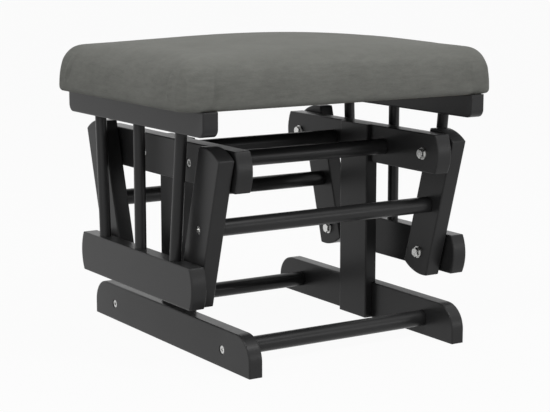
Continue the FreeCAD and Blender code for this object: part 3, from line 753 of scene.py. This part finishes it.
    def refine(self, piece: bpy.types.Object) -> None:
        """Divide the skin once more and lay it flat on the rails.

        Args:
            piece: the cushion, whose mesh is changed.
        """
        finer = piece.modifiers.new("finer", "SUBSURF")
        finer.levels = finer.render_levels = 1
        apply_modifiers(piece)
        points = read_points(piece)
        points[:, 2] = np.maximum(points[:, 2], self.low)
        write_points(piece, points)

    def crease_corners(self, piece: bpy.types.Object) -> None:
        """Raise the two fold lines of the cover beside each corner.

        Args:
            piece: the cushion, whose mesh is changed.
        """
        points = read_points(piece)
        normals = np.zeros(len(points) * 3, np.float32)
        piece.data.vertex_normals.foreach_get("vector", normals)
        normals = normals.reshape(-1, 3)
        lift = np.zeros(len(points))
        rise = points[:, 2] - self.low
        up = rise / self.crease_length
        for crease in self.creases:
            along = crease.side.value
            across = 1 - along
            lean = self.crease_lean * (0.5 - up)
            line = np.abs(points[:, along]) - (self.half[along] - crease.distance) - lean
            fade = (np.clip((rise - crease.foot) / self.crease_foot_ease, 0, 1)
                    * np.clip((self.crease_end - up) / self.crease_end_ease, 0, 1))
            ridge = np.exp(-(line / self.crease_width) ** 2)
            beside = ((line + self.dip_distance * self.crease_width)
                      / (self.dip_width * self.crease_width))
            dip = self.dip_depth * np.exp(-beside ** 2)
            outward = np.abs(points[:, across]) - self.half[across] + self.shell
            near = np.clip(outward / self.shell_ease, 0, 1)
            lift += (ridge - dip) * near * fade
        write_points(piece, points + normals * (lift * self.crease_height)[:, None])


def apply_modifiers(piece: bpy.types.Object) -> None:
    """Make a piece's modifiers part of its mesh.

    Args:
        piece: the piece, which has no modifiers afterwards.
    """
    seen = piece.evaluated_get(bpy.context.evaluated_depsgraph_get())
    mesh = bpy.data.meshes.new_from_object(seen)
    old = piece.data
    piece.modifiers.clear()
    piece.data = mesh
    mesh.name = old.name
    bpy.data.meshes.remove(old)


def read_points(piece: bpy.types.Object) -> np.ndarray:
    """Read the places of a mesh's corners.

    Args:
        piece: the piece that has the mesh.

    Returns:
        The places, one row each.
    """
    places = np.zeros(len(piece.data.vertices) * 3, np.float32)
    piece.data.vertices.foreach_get("co", places)
    return places.reshape(-1, 3).astype(float)


def write_points(piece: bpy.types.Object, points: np.ndarray) -> None:
    """Set the places of a mesh's corners."""
    piece.data.vertices.foreach_set("co", points.astype(np.float32).ravel())
    piece.data.update()


def even_out(mesh: bpy.types.Mesh, values: np.ndarray, rounds: int) -> np.ndarray:
    """Average the rows of a table over a mesh's neighbouring corners.

    Args:
        mesh: the mesh.
        values: a row for each corner.
        rounds: how many times to average.

    Returns:
        The averaged rows.
    """
    edges = np.zeros(len(mesh.edges) * 2, np.int64)
    mesh.edges.foreach_get("vertices", edges)
    starts, ends = edges.reshape(-1, 2).T
    near = np.concatenate((starts, ends))
    far = np.concatenate((ends, starts))
    counts = np.bincount(near, minlength=len(values))
    for _ in range(rounds):
        sums = [np.bincount(near, weights=column[far], minlength=len(values))
                for column in values.T]
        values = (values + np.column_stack(sums) / counts[:, None]) / 2
    return values


@dataclass
class PhotoCamera:
    """The camera at the photo's place, fitted to the straight edges of the wooden frame.

    The turn and the tip are in degrees, and the sensor's width is in millimetres. The focal length
    is in pixels of the photo.
    """

    place: Place = (-1.2695, -2.0060, 0.5952)
    turn: float = 32.424
    tip: float = 9.672
    focal_pixels: float = 1560.4
    photo_width: int = 550
    sensor: float = 36.0
    near: float = 0.05
    far: float = 60.0

    def build(self) -> bpy.types.Object:
        """Make the camera and look through it.

        Returns:
            The camera.
        """
        data = bpy.data.cameras.new("photo_camera")
        data.sensor_width = self.sensor
        data.lens = self.focal_pixels * self.sensor / self.photo_width
        data.clip_start, data.clip_end = self.near, self.far
        camera = bpy.data.objects.new("photo_camera", data)
        camera.location = self.place
        camera.rotation_euler = (math.radians(90.0 - self.tip), 0.0, -math.radians(self.turn))
        bpy.context.scene.collection.objects.link(camera)
        bpy.context.scene.camera = camera
        return camera


@dataclass(frozen=True)
class Softbox:
    """A square lamp that points at the object: its place, its side and its power in watts."""

    name: str
    place: Place
    side: float
    power: float
    target: Place = (0.0, 0.0, 0.28)

    def build(self) -> bpy.types.Object:
        """Make the lamp.

        Returns:
            The lamp.
        """
        data = bpy.data.lights.new(self.name, "AREA")
        data.shape, data.size, data.energy = "SQUARE", self.side, self.power
        lamp = bpy.data.objects.new(self.name, data)
        lamp.location = self.place
        aim = Vector(self.target) - Vector(self.place)
        lamp.rotation_euler = aim.to_track_quat("-Z", "Y").to_euler()
        bpy.context.scene.collection.objects.link(lamp)
        return lamp


@dataclass
class Studio:
    """A pale floor, a white surround and soft lamps."""

    floor_size: float = 40.0
    floor_colour: Colour = (0.5, 0.5, 0.5)
    floor_roughness: float = 0.9
    floor_white: float = 0.95
    surround: float = 0.40
    lamps: tuple[Softbox, ...] = (
        Softbox("key_lamp", (0.9, -1.8, 2.6), 0.65, 28.5),
        Softbox("side_lamp", (-1.7, -0.6, 2.5), 0.7, 25.5),
        Softbox("top_lamp", (0.3, 0.2, 2.8), 1.6, 8.6),
        Softbox("edge_lamp", (-2.2, -1.3, 0.5), 0.7, 3.0),
        Softbox("front_lamp", (1.5, -2.4, 0.55), 0.5, 4.6),
    )

    def build(self) -> None:
        """Make the floor, the surround and the lamps."""
        self.floor()
        self.world()
        for lamp in self.lamps:
            lamp.build()

    def floor(self) -> None:
        """Make the floor."""
        half = self.floor_size / 2
        mesh = bpy.data.meshes.new("floor")
        mesh.from_pydata([(-half, -half, 0), (half, -half, 0), (half, half, 0), (-half, half, 0)],
                         [], [(0, 1, 2, 3)])
        mesh.materials.append(self.floor_finish())
        floor = bpy.data.objects.new("floor", mesh)
        bpy.context.scene.collection.objects.link(floor)

    def floor_finish(self) -> bpy.types.Material:
        """Make the matt floor, nearly white to the camera and in reflections, and its shadow.

        Returns:
            The material.
        """
        board = NodeBoard("pale_floor")
        board.set_shader(Base_Color=(*self.floor_colour, 1.0), Roughness=self.floor_roughness,
                         Specular_IOR_Level=0.0)
        white = board.add("ShaderNodeEmission")
        share = board.add("ShaderNodeMath", operation="MULTIPLY")
        share.inputs[1].default_value = self.floor_white
        board.join(watched_rays(board.tree), share.inputs[0])
        mixed = board.add("ShaderNodeMixShader")
        board.join(share.outputs["Value"], mixed.inputs[0])
        board.join(board.shader.outputs["BSDF"], mixed.inputs[1])
        board.join(white.outputs["Emission"], mixed.inputs[2])
        board.join(mixed.outputs["Shader"], board.output.inputs["Surface"])
        return board.material

    def world(self) -> None:
        """Make the surround: white to the camera and in reflections, softer as a light."""
        world = bpy.data.worlds.new("surround")
        world.use_nodes = True
        tree = world.node_tree
        light = tree.nodes["Background"]
        strength = tree.nodes.new("ShaderNodeMapRange")
        strength.inputs["To Min"].default_value = self.surround
        strength.inputs["To Max"].default_value = 1.0
        tree.links.new(watched_rays(tree), strength.inputs["Value"])
        light.inputs["Color"].default_value = (1.0, 1.0, 1.0, 1.0)
        tree.links.new(strength.outputs["Result"], light.inputs["Strength"])
        bpy.context.scene.world = world


def watched_rays(tree: bpy.types.NodeTree) -> Socket:
    """One for the camera's rays and for those that mirror or pass through, and nought for others.

    Args:
        tree: the node tree that gets the nodes.

    Returns:
        The socket of the value.
    """
    rays = tree.nodes.new("ShaderNodeLightPath")
    value = rays.outputs["Is Camera Ray"]
    for name in ("Is Glossy Ray", "Is Transmission Ray"):
        either = tree.nodes.new("ShaderNodeMath")
        either.operation = "MAXIMUM"
        tree.links.new(value, either.inputs[0])
        tree.links.new(rays.outputs[name], either.inputs[1])
        value = either.outputs["Value"]
    return value


def main() -> None:
    """Build the looks and report each piece."""
    logging.basicConfig(level=logging.INFO, format="%(name)s: %(message)s")
    PhotoCamera().build()
    Studio().build()
    rack = FinishRack()
    for assembly in (Base(), LinkPair("front"), LinkPair("rear"), Platform()):
        for finish, names in assembly.dress(rack).items():
            for name in names:
                LOG.info("%s: %s", name, finish.value)
    cushion = Cushion().build()
    LOG.info("%s: %d faces", cushion.name, len(cushion.data.polygons))
    bpy.context.scene.view_settings.view_transform = "Standard"


if __name__ == "__main__":
    main()
